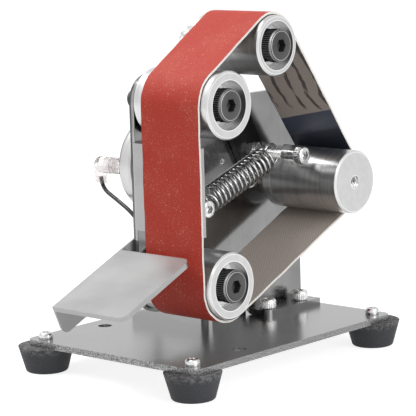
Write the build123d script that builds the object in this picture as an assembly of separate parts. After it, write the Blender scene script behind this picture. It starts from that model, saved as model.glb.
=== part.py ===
"""Bench belt grinder for a 330 x 30 mm abrasive belt, built one piece at a time.

Millimetres, +Z up, standing on z = 0 with the footprint's centre at the origin.
The wheels turn about +X, which points from the motor to the open side of the belt,
and the flat front run of the belt, where work is ground, faces -Y.
"""
import math
import os

from build123d import *

# ---------------------------------------------------------------- base
base_x = 18.2            # centre of the base plate
base_y = 8.8
base_width = 92.0
base_depth = 120.5
base_corner = 4.0
sheet = 2.5              # steel sheet of the base, the upright and the arm
foot_height = 10.4
foot_top_r = 11.2
foot_bottom_r = 8.3
foot_inset_x = 6.4       # foot centres from the edges of the base
foot_inset_y = 5.2
base_hole_r = 2.8        # the two spare holes near the front
base_hole_spacing = 73.0
base_hole_inset = 35.5

# ---------------------------------------------------------------- belt and wheels
belt_offset_x = 20.5     # belt's middle plane, from the centre of the base
run_offset_y = 43.0      # front run's outer face, in front of the centre of the base
belt_width = 30.0
belt_thickness = 0.9
belt_gap = 0.3           # running gap between the belt and each wheel
front_wheel_r = 13.1     # the two idlers behind the front run
tension_wheel_r = 11.8
drive_wheel_r = 12.8
lower_axle_height = 25.4     # above the base plate
front_axle_spacing = 69.5
tension_axle = (43.6, 115.1)     # behind the front run, above the base plate
drive_axle = (83.7, 57.1)
front_idler_length = 38.0
tension_idler_length = 35.7
drive_wheel_length = 38.6
lower_standoff = 0.7     # idler's inner end to the face that it is bolted to
upper_standoff = 1.8
tension_standoff = 0.8
drive_standoff = 6.0
wheel_chamfer = 0.6

# ---------------------------------------------------------------- idler bearings and axles
bearing_bore_r = 4.0
bearing_outer_r = 9.5
bearing_width = 6.0
bearing_inner_ring_r = 5.4
bearing_running_gap = 0.1
bearing_shield_step = 0.3
axle_fit = 0.04          # axle, sleeves and rings on one another
idler_bore_r = 8.0
axle_head_r = 6.5
axle_head_height = 5.0
axle_head_sink = 3.0     # how far the head sits inside the wheel's end
upper_head_sink = 4.2    # the upper idler's
axle_key_af = 5.0
shim_thickness = 0.5
axle_tail = 4.0          # thread left beyond the nut
clinch_nut_r = 5.0
clinch_nut_height = 2.5
axle_nut_af = 13.0
axle_nut_height = 6.5

# ---------------------------------------------------------------- upright
upright_offset_x = -22.0     # inner face, from the belt's middle plane
upright_front = 3.7      # front edge, behind the front run
upright_rear = 102.0
upright_top = 92.0       # above the base plate
nose_r = 10.5            # rounded ends of the front edge, about the idler axles
front_edge_bottom = 10.9
leg_front = 42.0         # where the sheet first reaches the base
shoulder_start = 36.0
upright_corner = 8.0
bend_r = 1.5             # inside radius of every bend
wing_length = 40.0       # stiffener bent towards the motor
wing_height = 9.5
tab_front = 68.4         # foot bent towards the belt
tab_width = 10.4
tab_corner = 3.0
tab_bolt_offset = 5.6    # from the upright's inner face
tab_bolt_inset = 7.8     # from the rear edge
tab_bolt_spacing = 20.8
small_hole = (54.1, 65.9)
small_hole_r = 1.5

# ---------------------------------------------------------------- platen
platen_gap = 0.5         # behind the belt's back
platen_width = 35.5
platen_bottom = 45.6     # above the base plate
platen_height = 34.0
platen_thickness = 2.5
platen_leg = 16.0
platen_screw_y = 11.8    # behind the front run
platen_screw_edge = 7.5

# ---------------------------------------------------------------- tension arm and spring
arm_width = 14.4
arm_gap = 0.3            # arm to upright
arm_pivot_reach = 33.6   # tension axle to pivot
arm_post_reach = 52.8    # tension axle to spring post
arm_lean = 28.4          # from the vertical, degrees
pivot_r = 3.0
pivot_clearance = 0.08
pivot_head_r = 5.0
pivot_head_height = 3.3
pivot_washer = 0.2
pivot_key_af = 4.0
pivot_nut_af = 10.0
pivot_nut_height = 4.0
spring_offset_x = -7.5   # spring's axis, from the belt's middle plane
upper_post_reach = 12.3  # from the spring's wire to the seat of the post's head
lower_post_reach = 1.7
lower_post = (22.6, 52.4)
spring_wire_r = 0.6
spring_r = 4.9           # to the middle of the wire
spring_turns = 14
hook_r = 4.2
spring_seat = 0.03       # hook on its post

# ---------------------------------------------------------------- drive wheel and motor
motor_r = 21.0
motor_can_length = 57.0
motor_cap_length = 10.0
motor_can_round = 2.0
motor_cap_round = 3.5
motor_boss_r = 8.75
motor_boss_length = 5.0
motor_tail_boss_r = 6.0
motor_tail_boss_length = 3.0
motor_screw_spacing = 29.0
motor_screw_depth = 5.0
vent_ring_r = 12.5       # middle of the end cap's vents
vent_length = 6.0
vent_width = 2.6
vent_depth = 2.0
motor_shaft_r = 2.5
motor_shaft_reach = 12.0     # beyond the boss
drive_thread_r = 2.5
drive_thread_depth = 15.0
drive_groove_at = 4.0
drive_groove = 0.5
grub_r = 2.0
grub_key_af = 2.0
grub_sink = 1.0          # below the wheel's rim
boss_clearance = 0.1
terminal_offset = 16.5   # each side of the motor's axis
terminal_width = 4.8
terminal_length = 8.0
terminal_thickness = 0.8
terminal_seat = 2.0      # inside the end cap
boot_r = 3.7
boot_length = 15.0
boot_round = 2.0
boot_room = (2.4, 6.0)   # hollow about the terminal: thickness, width
boot_leg_inset = 1.0     # end of the boot, inside the leg's outer side
boot_mouth_r = 1.9
boot_mouth_depth = 3.0
boot_leg = 8.0           # from the boot's axis down to its mouth
boot_leg_r = 2.6

# ---------------------------------------------------------------- work rest
rest_width = 38.5
rest_length = 40.7
rest_sheet = 2.0
rest_slope = 23.3        # degrees, down towards the front
rest_gap = 3.5           # rear edge in front of the belt
rest_rear_height = 38.2  # rear edge above the base plate
rest_flange_depth = 13.0
rest_arm_reach = 20.0    # rear edge to clamp screw, along the slope
rest_corner = 3.5
rest_offset_x = 0.05     # flange to upright
clamp_r = 2.5
clamp_head_r = 4.25
clamp_head_height = 5.0
clamp_key_af = 4.0

# ---------------------------------------------------------------- leads and socket
lead_r = 0.9
socket_r = 5.5
socket_inset_x = 8.0     # socket's open end, from the upright's outer face
socket_offset_y = 15.5   # in front of the motor's axis
socket_length = 26.0
socket_bore_r = 2.8
socket_bore_depth = 10.0
socket_pin_r = 1.0
lead_spacing = 3.2       # between the two leads where they enter the socket

# ---------------------------------------------------------------- fasteners
m4_r = 2.0
m4_head_r = 3.5
m4_head_height = 4.0
m4_key_af = 3.0
m4_nut_af = 7.0
m4_nut_height = 3.2
m3_r = 1.5
m3_head_r = 2.9
m3_head_height = 2.6
m3_nut_af = 5.5
m3_nut_height = 2.4
nut_corner = 0.07        # chamfer of a nut's corners, as a share of its width
hole_clearance = 0.2
seat_play = 0.1          # a moving piece under its screw's head
thread_end = 1.0         # thread left beyond a nut
head_edge = 0.08         # a socket head's chamfer, as a share of its radius
key_depth = 0.5          # as a share of the head's height
pan_head_r = 4.0
pan_head_height = 2.6
foot_screw_length = 8.0
hex_to_corner = 1 / math.cos(math.radians(30))

# ---------------------------------------------------------------- places that follow
plate_z = foot_height + sheet                    # top of the base plate
belt_x = base_x + belt_offset_x
run_y = base_y - run_offset_y
upright_x = belt_x + upright_offset_x            # inner face
outer_x = upright_x - sheet                      # outer face
arm_x = upright_x + arm_gap                      # arm's rear face
arm_front_x = arm_x + sheet
spring_x = belt_x + spring_offset_x
wheel_to_run = front_wheel_r + belt_gap + belt_thickness
lower_yz = (run_y + wheel_to_run, plate_z + lower_axle_height)
upper_yz = (lower_yz[0], lower_yz[1] + front_axle_spacing)
tension_yz = (run_y + tension_axle[0], plate_z + tension_axle[1])
drive_yz = (run_y + drive_axle[0], plate_z + drive_axle[1])
arm_dir = (math.sin(math.radians(arm_lean)), -math.cos(math.radians(arm_lean)))
pivot_yz = (tension_yz[0] + arm_pivot_reach * arm_dir[0], tension_yz[1] + arm_pivot_reach * arm_dir[1])
post_yz = (tension_yz[0] + arm_post_reach * arm_dir[0], tension_yz[1] + arm_post_reach * arm_dir[1])
lower_post_yz = (run_y + lower_post[0], plate_z + lower_post[1])
foot_xs = (base_x - base_width / 2 + foot_inset_x, base_x + base_width / 2 - foot_inset_x)
foot_ys = (base_y - base_depth / 2 + foot_inset_y, base_y + base_depth / 2 - foot_inset_y)
foot_nut_top = foot_height - foot_screw_length + m3_nut_height
foot_places = [(x, y) for y in foot_ys for x in foot_xs]
tab_bolt_x = upright_x + tab_bolt_offset
tab_bolt_ys = [run_y + upright_rear - tab_bolt_inset - i * tab_bolt_spacing for i in (0, 1)]
platen_screw_zs = (
    plate_z + platen_bottom + platen_screw_edge,
    plate_z + platen_bottom + platen_height - platen_screw_edge,
)
motor_screw_ys = (drive_yz[0] - motor_screw_spacing / 2, drive_yz[0] + motor_screw_spacing / 2)
motor_end_x = outer_x - motor_can_length - motor_cap_length
slope = math.radians(rest_slope)
rest_rear = (run_y - rest_gap, plate_z + rest_rear_height)
clamp_yz = (
    rest_rear[0] + rest_arm_reach * math.cos(slope) + rest_flange_depth / 2 * math.sin(slope),
    rest_rear[1] + rest_arm_reach * math.sin(slope) - rest_flange_depth / 2 * math.cos(slope),
)


# ---------------------------------------------------------------- helpers
def facing_x(x, yz=(0.0, 0.0)):
    """A plane at x that looks along +X, drawn on in (y, z)."""
    return Plane(origin=(x, yz[0], yz[1]), x_dir=(0, 1, 0), z_dir=(1, 0, 0))


def rod_x(x0, x1, yz, radius):
    """A round bar along X."""
    return extrude(facing_x(x0, yz) * Circle(radius), x1 - x0)


def ring_x(x0, x1, yz, outer, inner):
    """A sleeve or washer along X."""
    return extrude(facing_x(x0, yz) * (Circle(outer) - Circle(inner)), x1 - x0)


def rod_z(x, y, z0, z1, radius):
    return Pos(x, y, z0) * Cylinder(radius, z1 - z0, align=(Align.CENTER, Align.CENTER, Align.MIN))


def hexagon(across_flats):
    return RegularPolygon(across_flats / 2, 6, major_radius=False)


def nut(plane, across_flats, height, bore_r):
    """A hexagon nut that stands on the plane, with its corners turned down."""
    blank = extrude(plane * Circle(across_flats / 2 * hex_to_corner), height)
    blank = chamfer(blank.edges().filter_by(GeomType.CIRCLE), across_flats * nut_corner)
    return blank & extrude(plane * (hexagon(across_flats) - Circle(bore_r)), height)


def socket_screw(plane, shank_r, shank, head_r, head, key_af):
    """A hexagon socket screw: the head's seat lies on the plane and the shank runs behind it."""
    body = extrude(plane * Circle(head_r), head)
    body = chamfer(body.faces().sort_by(Axis(plane.origin, plane.z_dir))[-1].edges(), head_r * head_edge)
    body -= extrude(plane.offset(head * (1 - key_depth)) * hexagon(key_af), head)
    return body + extrude(plane * Circle(shank_r), -shank)


def pan_screw(plane, shank_r, shank, head_r, head):
    """A pan head screw with a plain cross recess."""
    body = extrude(plane * Circle(head_r), head)
    body = fillet(body.faces().sort_by(Axis(plane.origin, plane.z_dir))[-1].edges(), head * 0.45)
    slot = Rectangle(head_r, head_r * 0.28) + Rectangle(head_r * 0.28, head_r)
    body -= extrude(plane.offset(head * 0.55) * slot, head)
    return body + extrude(plane * Circle(shank_r), -shank)


# ---------------------------------------------------------------- base, feet
def base_plate():
    plate = Pos(base_x, base_y, foot_height) * extrude(
        RectangleRounded(base_width, base_depth, base_corner), sheet)
    for x, y in foot_places:
        plate -= rod_z(x, y, 0, plate_z + 1, m3_r + hole_clearance)
    for side in (-1, 1):
        x = base_x + side * base_hole_spacing / 2
        plate -= rod_z(x, base_y - base_depth / 2 + base_hole_inset, 0, plate_z + 1, base_hole_r)
    for y in tab_bolt_ys:
        plate -= rod_z(tab_bolt_x, y, 0, plate_z + 1, m4_r + hole_clearance)
    return plate


def foot(x, y):
    """A tapered rubber foot, hollow below where its nut sits."""
    body = Pos(x, y, foot_height / 2) * Cone(foot_bottom_r, foot_top_r, foot_height)
    body = fillet(body.edges().sort_by(Axis.Z)[0], 1.2)
    body -= rod_z(x, y, 0, foot_height + 1, m3_r + hole_clearance)
    return body - rod_z(x, y, 0, foot_nut_top, m3_nut_af / 2 * hex_to_corner + hole_clearance)


def foot_screws():
    plane = Plane.XY.offset(plate_z)
    return [
        Pos(x, y, 0) * pan_screw(plane, m3_r, foot_screw_length + sheet, m3_head_r, m3_head_height)
        for x, y in foot_places
    ]


def foot_nuts():
    return [
        nut(Plane(origin=(x, y, foot_nut_top), z_dir=(0, 0, -1)), m3_nut_af, m3_nut_height, m3_r + axle_fit)
        for x, y in foot_places
    ]


# ---------------------------------------------------------------- upright
def upright():
    """One bent sheet: the wheels' wall, a stiffening wing and a bolted foot."""
    front = run_y + upright_front
    rear = run_y + upright_rear
    leg = run_y + leg_front
    nose_y = front + nose_r
    bottom_z = plate_z + front_edge_bottom
    top_z = plate_z + upright_top
    # the sloping top edge leaves the upper nose as a tangent
    fall = math.atan2(upper_yz[1] + nose_r - top_z, run_y + shoulder_start - nose_y)
    crest = (nose_y + nose_r * math.sin(fall), upper_yz[1] + nose_r * math.cos(fall))
    shoulder = (crest[0] + (crest[1] - top_z) / math.tan(fall), top_z)
    outline = [
        Line((front, bottom_z + nose_r), (front, upper_yz[1])),
        RadiusArc((front, upper_yz[1]), crest, nose_r),
        Line(crest, shoulder),
        Line(shoulder, (rear - upright_corner, top_z)),
        RadiusArc((rear - upright_corner, top_z), (rear, top_z - upright_corner), upright_corner),
        Line((rear, top_z - upright_corner), (rear, plate_z)),
        Line((rear, plate_z), (leg, plate_z)),
        Line((leg, plate_z), (leg, bottom_z)),
        Line((leg, bottom_z), (nose_y, bottom_z)),
        RadiusArc((nose_y, bottom_z), (front, bottom_z + nose_r), nose_r),
    ]
    wall = extrude(facing_x(outer_x) * make_face(outline), sheet)
    outer_r = bend_r + sheet
    # foot: bent from the lower edge, with a relief slot at its front end
    tab = [
        (outer_x, plate_z), (upright_x + tab_width, plate_z),
        (upright_x + tab_width, plate_z + sheet), (upright_x, plate_z + sheet),
        (upright_x, plate_z + 2 * sheet), (outer_x, plate_z + 2 * sheet),
    ]
    tab_face = make_face(Polyline(*tab, close=True))
    tab_face = fillet(tab_face.vertices().group_by(Axis.X)[0].sort_by(Axis.Y)[0], outer_r)
    tab_y = run_y + tab_front
    tab_plane = Plane(origin=(0, tab_y, 0), x_dir=(1, 0, 0), z_dir=(0, -1, 0))
    tab_body = extrude(tab_plane * tab_face, -(rear - tab_y))
    free_corner = tab_body.edges().filter_by(Axis.Z).group_by(Axis.X)[-1].sort_by(Axis.Y)[0]
    tab_body = fillet(free_corner, tab_corner)
    relief = Pos(outer_x + sheet / 2, tab_y - sheet / 2, plate_z + outer_r / 2) * Box(
        sheet + 1, sheet, outer_r + 2)
    skirt = Pos(outer_x + sheet / 2, (tab_y + rear) / 2, plate_z + sheet) * Box(
        sheet, rear - tab_y, 2 * sheet)
    wall = wall - relief - skirt + tab_body
    # wing: bent back towards the motor from the leg's front edge
    wing = Pos(0, 0, plate_z) * extrude(
        make_face(Polyline(
            (outer_x - wing_length, leg), (upright_x, leg), (upright_x, leg + 2 * sheet),
            (outer_x, leg + 2 * sheet), (outer_x, leg + sheet), (outer_x - wing_length, leg + sheet),
            close=True)),
        wing_height)
    bend_edge = wing.edges().filter_by(Axis.Z).sort_by(Axis.X)[-2:].sort_by(Axis.Y)[0]
    wing = fillet(bend_edge, outer_r)
    heel = Pos(outer_x + sheet / 2, leg + sheet, plate_z + wing_height / 2) * Box(
        sheet, 2 * sheet, wing_height)
    body = wall - heel + wing
    for yz in (lower_yz, upper_yz):
        body -= rod_x(outer_x - 1, upright_x + 1, yz, bearing_bore_r)
    body -= rod_x(outer_x - 1, upright_x + 1, drive_yz, motor_boss_r + boss_clearance)
    for y in motor_screw_ys:
        body -= rod_x(outer_x - 1, upright_x + 1, (y, drive_yz[1]), m4_r + hole_clearance)
    for z in platen_screw_zs:
        body -= rod_x(outer_x - 1, upright_x + 1, (run_y + platen_screw_y, z), m4_r + hole_clearance)
    body -= rod_x(outer_x - 1, upright_x + 1, pivot_yz, pivot_r + axle_fit)
    body -= rod_x(outer_x - 1, upright_x + 1, lower_post_yz, m4_r + axle_fit)
    body -= rod_x(outer_x - 1, upright_x + 1, clamp_yz, clamp_r + axle_fit)
    hole_yz = (run_y + small_hole[0], plate_z + small_hole[1])
    body -= rod_x(outer_x - 1, upright_x + 1, hole_yz, small_hole_r)
    for y in tab_bolt_ys:
        body -= rod_z(tab_bolt_x, y, plate_z - 1, plate_z + sheet + 1, m4_r + hole_clearance)
    return body


def foot_bolts():
    plane = Plane.XY.offset(plate_z + sheet)
    shank = 2 * sheet + m4_nut_height + thread_end
    return [
        Pos(tab_bolt_x, y, 0) * socket_screw(plane, m4_r, shank, m4_head_r, m4_head_height, m4_key_af)
        for y in tab_bolt_ys
    ]


def foot_bolt_nuts():
    return [
        nut(Plane(origin=(tab_bolt_x, y, foot_height), z_dir=(0, 0, -1)), m4_nut_af, m4_nut_height,
            m4_r + axle_fit)
        for y in tab_bolt_ys
    ]


# ---------------------------------------------------------------- platen
def platen():
    """The flat steel angle that backs the belt's front run."""
    front = run_y + belt_thickness + platen_gap
    outline = Polyline(
        (upright_x, front), (upright_x + platen_width, front),
        (upright_x + platen_width, front + platen_thickness),
        (upright_x + platen_thickness, front + platen_thickness),
        (upright_x + platen_thickness, front + platen_leg), (upright_x, front + platen_leg), close=True)
    body = Pos(0, 0, plate_z + platen_bottom) * extrude(make_face(outline), platen_height)
    inner = body.edges().filter_by(Axis.Z).sort_by(
        lambda e: abs(e.center().X - upright_x - platen_thickness)
        + abs(e.center().Y - front - platen_thickness))[0]
    body = fillet(inner, bend_r)
    outer = body.edges().filter_by(Axis.Z).sort_by(
        lambda e: abs(e.center().X - upright_x) + abs(e.center().Y - front))[0]
    body = fillet(outer, bend_r)
    for z in platen_screw_zs:
        body -= rod_x(upright_x - 1, upright_x + platen_thickness + 1, (run_y + platen_screw_y, z),
                      m4_r + hole_clearance)
    return body


def platen_screws():
    x = upright_x + platen_thickness
    shank = platen_thickness + sheet + m4_nut_height + thread_end
    return [
        pan_screw(facing_x(x, (run_y + platen_screw_y, z)), m4_r, shank, pan_head_r, pan_head_height)
        for z in platen_screw_zs
    ]


def outer_nut(yz, across_flats, height, bore_r):
    """A nut on the upright's outer face."""
    plane = Plane(origin=(outer_x, yz[0], yz[1]), x_dir=(0, 1, 0), z_dir=(-1, 0, 0))
    return nut(plane, across_flats, height, bore_r)


def platen_nuts():
    return [
        outer_nut((run_y + platen_screw_y, z), m4_nut_af, m4_nut_height, m4_r + axle_fit)
        for z in platen_screw_zs
    ]


# ---------------------------------------------------------------- idlers
def race_depth(sink):
    """From the wheel's end to its bearing, when the axle's head sits that deep in it."""
    return sink + shim_thickness


def idler_wheel(x0, length, yz, radius, sink):
    """A turned aluminium roller with a bearing pocket in each end."""
    body = rod_x(x0, x0 + length, yz, radius)
    body = chamfer(body.edges().filter_by(GeomType.CIRCLE), wheel_chamfer)
    body -= rod_x(x0, x0 + length, yz, idler_bore_r)
    depth = race_depth(sink) + bearing_width
    body -= rod_x(x0, x0 + depth, yz, bearing_outer_r)
    return body - rod_x(x0 + length - depth, x0 + length, yz, bearing_outer_r)


def bearing_starts(x0, length, sink):
    return (x0 + race_depth(sink), x0 + length - race_depth(sink) - bearing_width)


def outer_rings(x0, length, yz, sink):
    """Each bearing's outer ring with its two shields."""
    rings = []
    shield_r = (bearing_outer_r + bearing_inner_ring_r) / 2 + 1
    for x in bearing_starts(x0, length, sink):
        ring = ring_x(x, x + bearing_width, yz, bearing_outer_r, bearing_inner_ring_r + bearing_running_gap)
        for end in (x, x + bearing_width - bearing_shield_step):
            ring -= rod_x(end, end + bearing_shield_step, yz, shield_r)
        rings.append(ring)
    return rings


def inner_rings(x0, length, yz, sink):
    return [
        ring_x(x, x + bearing_width, yz, bearing_inner_ring_r, bearing_bore_r)
        for x in bearing_starts(x0, length, sink)
    ]


def idler_sleeves(seat_x, x0, length, yz, sink):
    """The stack that clamps the inner rings: inner sleeve, middle tube and outer shim."""
    first, second = bearing_starts(x0, length, sink)
    spans = (
        (seat_x, first),
        (first + bearing_width, second),
        (second + bearing_width, second + bearing_width + shim_thickness),
    )
    return [ring_x(a, b, yz, bearing_inner_ring_r, bearing_bore_r) for a, b in spans]


def idler_axle(x0, length, yz, sink, tip_x):
    """The M8 socket screw that an idler turns on."""
    seat = x0 + length - sink
    return socket_screw(facing_x(seat, yz), bearing_bore_r - axle_fit, seat - tip_x, axle_head_r,
                        axle_head_height, axle_key_af)


def clinch_nut(yz):
    """A round press-in nut on the upright's outer face."""
    return ring_x(outer_x - clinch_nut_height, outer_x, yz, clinch_nut_r, bearing_bore_r)


# ---------------------------------------------------------------- belt
def loop_face(extra):
    """The belt path's outline, at a distance outside the wheels."""
    wheels = (
        (lower_yz, front_wheel_r), (upper_yz, front_wheel_r),
        (tension_yz, tension_wheel_r), (drive_yz, drive_wheel_r),
    )
    rims = Sketch() + [Pos(*yz) * Circle(radius + extra) for yz, radius in wheels]
    return make_hull(rims.edges())


def abrasive_belt():
    band = loop_face(belt_gap + belt_thickness) - loop_face(belt_gap)
    return extrude(facing_x(belt_x - belt_width / 2) * band, belt_width)


# ---------------------------------------------------------------- drive wheel and motor
drive_x = upright_x + drive_standoff
boss_x = outer_x + motor_boss_length
shaft_tip_x = boss_x + motor_shaft_reach
grub_x = drive_x + drive_groove_at / 2


def drive_wheel():
    end = drive_x + drive_wheel_length
    body = rod_x(drive_x, end, drive_yz, drive_wheel_r)
    body = chamfer(body.edges().filter_by(GeomType.CIRCLE), wheel_chamfer)
    body -= ring_x(drive_x + drive_groove_at, drive_x + drive_groove_at + drive_groove, drive_yz,
                   drive_wheel_r + 1, drive_wheel_r - drive_groove)
    body -= rod_x(drive_x - 1, shaft_tip_x + hole_clearance, drive_yz, motor_shaft_r + axle_fit)
    body -= rod_x(end - drive_thread_depth, end + 1, drive_yz, drive_thread_r)
    return body - rod_z(grub_x, drive_yz[0], drive_yz[1], drive_yz[1] + motor_r, grub_r + axle_fit)


def drive_grub():
    low = drive_yz[1] + motor_shaft_r + axle_fit
    top = drive_yz[1] + drive_wheel_r - grub_sink
    body = rod_z(grub_x, drive_yz[0], low, top, grub_r)
    return body - extrude(Plane(origin=(grub_x, drive_yz[0], top - grub_r)) * hexagon(grub_key_af), grub_r)


def motor_shaft():
    body = rod_x(outer_x - motor_can_length / 2, shaft_tip_x, drive_yz, motor_shaft_r)
    return chamfer(body.faces().sort_by(Axis.X)[-1].edges(), 0.4)


def motor_can():
    """The drawn steel case with its front boss."""
    body = rod_x(outer_x - motor_can_length, outer_x, drive_yz, motor_r)
    body = fillet(body.faces().sort_by(Axis.X)[-1].edges(), motor_can_round)
    body += rod_x(outer_x - 1, boss_x, drive_yz, motor_boss_r)
    body -= rod_x(outer_x - motor_can_length / 2, boss_x + 1, drive_yz, motor_shaft_r + axle_fit)
    for y in motor_screw_ys:
        body -= rod_x(outer_x - motor_screw_depth - 1, outer_x + 1, (y, drive_yz[1]), m4_r + axle_fit)
    return body


def motor_end_cap():
    """The rear bell with its bearing boss, vents and terminal slots."""
    start = outer_x - motor_can_length
    body = rod_x(motor_end_x, start, drive_yz, motor_r)
    body = fillet(body.faces().sort_by(Axis.X)[0].edges(), motor_cap_round)
    body += rod_x(motor_end_x - motor_tail_boss_length, motor_end_x + 1, drive_yz, motor_tail_boss_r)
    for angle in (45, 135, 225, 315):
        place = facing_x(motor_end_x - 1, drive_yz) * Rot(0, 0, angle) * Pos(vent_ring_r, 0)
        body -= extrude(place * SlotOverall(vent_length, vent_width), vent_depth + 1)
    for side in (-1, 1):
        yz = (drive_yz[0] + side * terminal_offset, drive_yz[1])
        slot = Rectangle(terminal_thickness + hole_clearance, terminal_width + hole_clearance)
        body -= extrude(facing_x(motor_end_x - 1, yz) * slot, terminal_seat + 2)
    return body


def motor_screws():
    return [
        pan_screw(facing_x(upright_x, (y, drive_yz[1])), m4_r, sheet + motor_screw_depth, pan_head_r,
                  pan_head_height)
        for y in motor_screw_ys
    ]


def terminal_places():
    return [(drive_yz[0] + side * terminal_offset, drive_yz[1]) for side in (-1, 1)]


def motor_terminals():
    return [
        extrude(facing_x(motor_end_x + terminal_seat, yz) * Rectangle(terminal_thickness, terminal_width),
                -terminal_length - terminal_seat)
        for yz in terminal_places()
    ]


boot_x = motor_end_x - 0.2                       # boot's mouth
boot_end_x = boot_x - boot_length
boot_leg_x = boot_end_x + boot_leg_r - boot_leg_inset


def terminal_boot(yz):
    """A clear flag cover: a sleeve over the terminal and a leg that holds the lead."""
    body = rod_x(boot_end_x, boot_x, yz, boot_r)
    body = fillet(body.faces().sort_by(Axis.X)[0].edges(), boot_round)
    body += rod_z(boot_leg_x, yz[0], yz[1] - boot_leg, yz[1], boot_leg_r)
    room = extrude(facing_x(boot_end_x + boot_leg_r * 2, yz) * Rectangle(*boot_room), boot_length)
    mouth_z = yz[1] - boot_leg
    return body - room - rod_z(boot_leg_x, yz[0], mouth_z, mouth_z + boot_mouth_depth, boot_mouth_r)


# ---------------------------------------------------------------- leads
socket_x = outer_x - socket_inset_x              # socket's open end
socket_yz = (drive_yz[0] - socket_offset_y, plate_z + socket_r)
lead_end_x = socket_x - socket_length
near_yz, far_yz = terminal_places()
lead_top = near_yz[1] - boot_leg + boot_mouth_depth


def near_route():
    """The lead from the near boot, down under the motor to the socket."""
    y = near_yz[0]
    return [
        (boot_leg_x, y, lead_top),
        (boot_leg_x, y, lead_top - 5.2),
        (boot_leg_x + 10, y - 0.7, lead_top - 9.8),
        (boot_leg_x + 20, y - 1.2, lead_top - 15),
        (boot_leg_x + 28, y - 0.8, lead_top - 24),
        (boot_leg_x + 33, y + 0.2, lead_top - 36),
        (lead_end_x - 7, socket_yz[0] - lead_spacing / 2, socket_yz[1]),
        (lead_end_x, socket_yz[0] - lead_spacing / 2, socket_yz[1]),
    ]


def far_route():
    """The lead from the far boot, which crosses under the motor to the same socket."""
    y = far_yz[0]
    return [
        (boot_leg_x, y, lead_top),
        (boot_leg_x, y, lead_top - 7),
        (boot_leg_x + 4.5, y - 5, lead_top - 16),
        (boot_leg_x + 11, y - 12, lead_top - 24),
        (boot_leg_x + 18, y - 20, lead_top - 32),
        (boot_leg_x + 26, y - 27, lead_top - 39),
        (lead_end_x - 7, socket_yz[0] + lead_spacing / 2, socket_yz[1]),
        (lead_end_x, socket_yz[0] + lead_spacing / 2, socket_yz[1]),
    ]


def lead_radii(points):
    """The bend radius at each inner point of a route."""
    radii = []
    for before, at, after in zip(points, points[1:], points[2:]):
        a = Vector(at) - Vector(before)
        b = Vector(after) - Vector(at)
        half_turn = math.radians(a.get_angle(b)) / 2
        radii.append(0.45 * min(a.length, b.length) / math.tan(half_turn))
    return radii


def lead(points):
    path = FilletPolyline(*points, radius=lead_radii(points))
    section = Plane(origin=points[0], z_dir=Vector(points[1]) - Vector(points[0])) * Circle(lead_r)
    tube = sweep(section, path=path)
    radii = ", ".join(f"{r:.0f}" for r in lead_radii(points))
    print(f"lead: length {path.length:.1f}, radii {radii}, "
          f"volume {tube.volume:.1f} of {math.pi * lead_r ** 2 * path.length:.1f}")
    return tube


def power_socket():
    """The in-line socket that a plug from the mains adapter fits."""
    body = rod_x(lead_end_x, socket_x, socket_yz, socket_r)
    body = fillet(body.faces().sort_by(Axis.X)[0].edges(), 2)
    return body - rod_x(socket_x - socket_bore_depth, socket_x, socket_yz, socket_bore_r)


def power_socket_pin():
    return rod_x(socket_x - socket_bore_depth, socket_x - 1, socket_yz, socket_pin_r)


# ---------------------------------------------------------------- tension arm
def tension_arm():
    """A flat lever: idler at the top, pivot in the middle, spring post at the bottom."""
    half = arm_width / 2
    across = (-arm_dir[1], arm_dir[0])

    def side(yz, sign):
        return (yz[0] + sign * half * across[0], yz[1] + sign * half * across[1])

    edges = [
        Line(side(tension_yz, 1), side(post_yz, 1)),
        ThreePointArc(side(post_yz, 1), (post_yz[0] + half * arm_dir[0], post_yz[1] + half * arm_dir[1]),
                      side(post_yz, -1)),
        Line(side(post_yz, -1), side(tension_yz, -1)),
        ThreePointArc(side(tension_yz, -1),
                      (tension_yz[0] - half * arm_dir[0], tension_yz[1] - half * arm_dir[1]),
                      side(tension_yz, 1)),
    ]
    body = extrude(facing_x(arm_x) * make_face(edges), sheet)
    body -= rod_x(arm_x - 1, arm_front_x + 1, tension_yz, bearing_bore_r)
    body -= rod_x(arm_x - 1, arm_front_x + 1, pivot_yz, pivot_r + pivot_clearance)
    return body - rod_x(arm_x - 1, arm_front_x + 1, post_yz, m4_r + axle_fit)


def pivot_bolt():
    seat = arm_front_x + seat_play
    shank = seat - outer_x + pivot_nut_height + thread_end
    return socket_screw(facing_x(seat, pivot_yz), pivot_r, shank, pivot_head_r, pivot_head_height, pivot_key_af)


def pivot_spacer():
    return ring_x(upright_x, upright_x + pivot_washer, pivot_yz, pivot_head_r, pivot_r + axle_fit)


def pivot_nut():
    return outer_nut(pivot_yz, pivot_nut_af, pivot_nut_height, pivot_r + axle_fit)


upper_head_x = spring_x + spring_wire_r + upper_post_reach


def upper_post():
    """The M4 screw in the arm that the spring pulls."""
    return socket_screw(facing_x(upper_head_x, post_yz), m4_r, upper_head_x - arm_x - seat_play, m4_head_r,
                        m4_head_height, m4_key_af)


def upper_post_nut():
    return nut(facing_x(arm_front_x, post_yz), m4_nut_af, m4_nut_height, m4_r + axle_fit)


def lower_post_screw():
    seat = spring_x + spring_wire_r + lower_post_reach
    shank = seat - outer_x + m4_nut_height + thread_end
    return socket_screw(facing_x(seat, lower_post_yz), m4_r, shank, m4_head_r, m4_head_height, m4_key_af)


def lower_post_nuts():
    return [
        nut(facing_x(upright_x, lower_post_yz), m4_nut_af, m4_nut_height, m4_r + axle_fit),
        outer_nut(lower_post_yz, m4_nut_af, m4_nut_height, m4_r + axle_fit),
    ]


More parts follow.
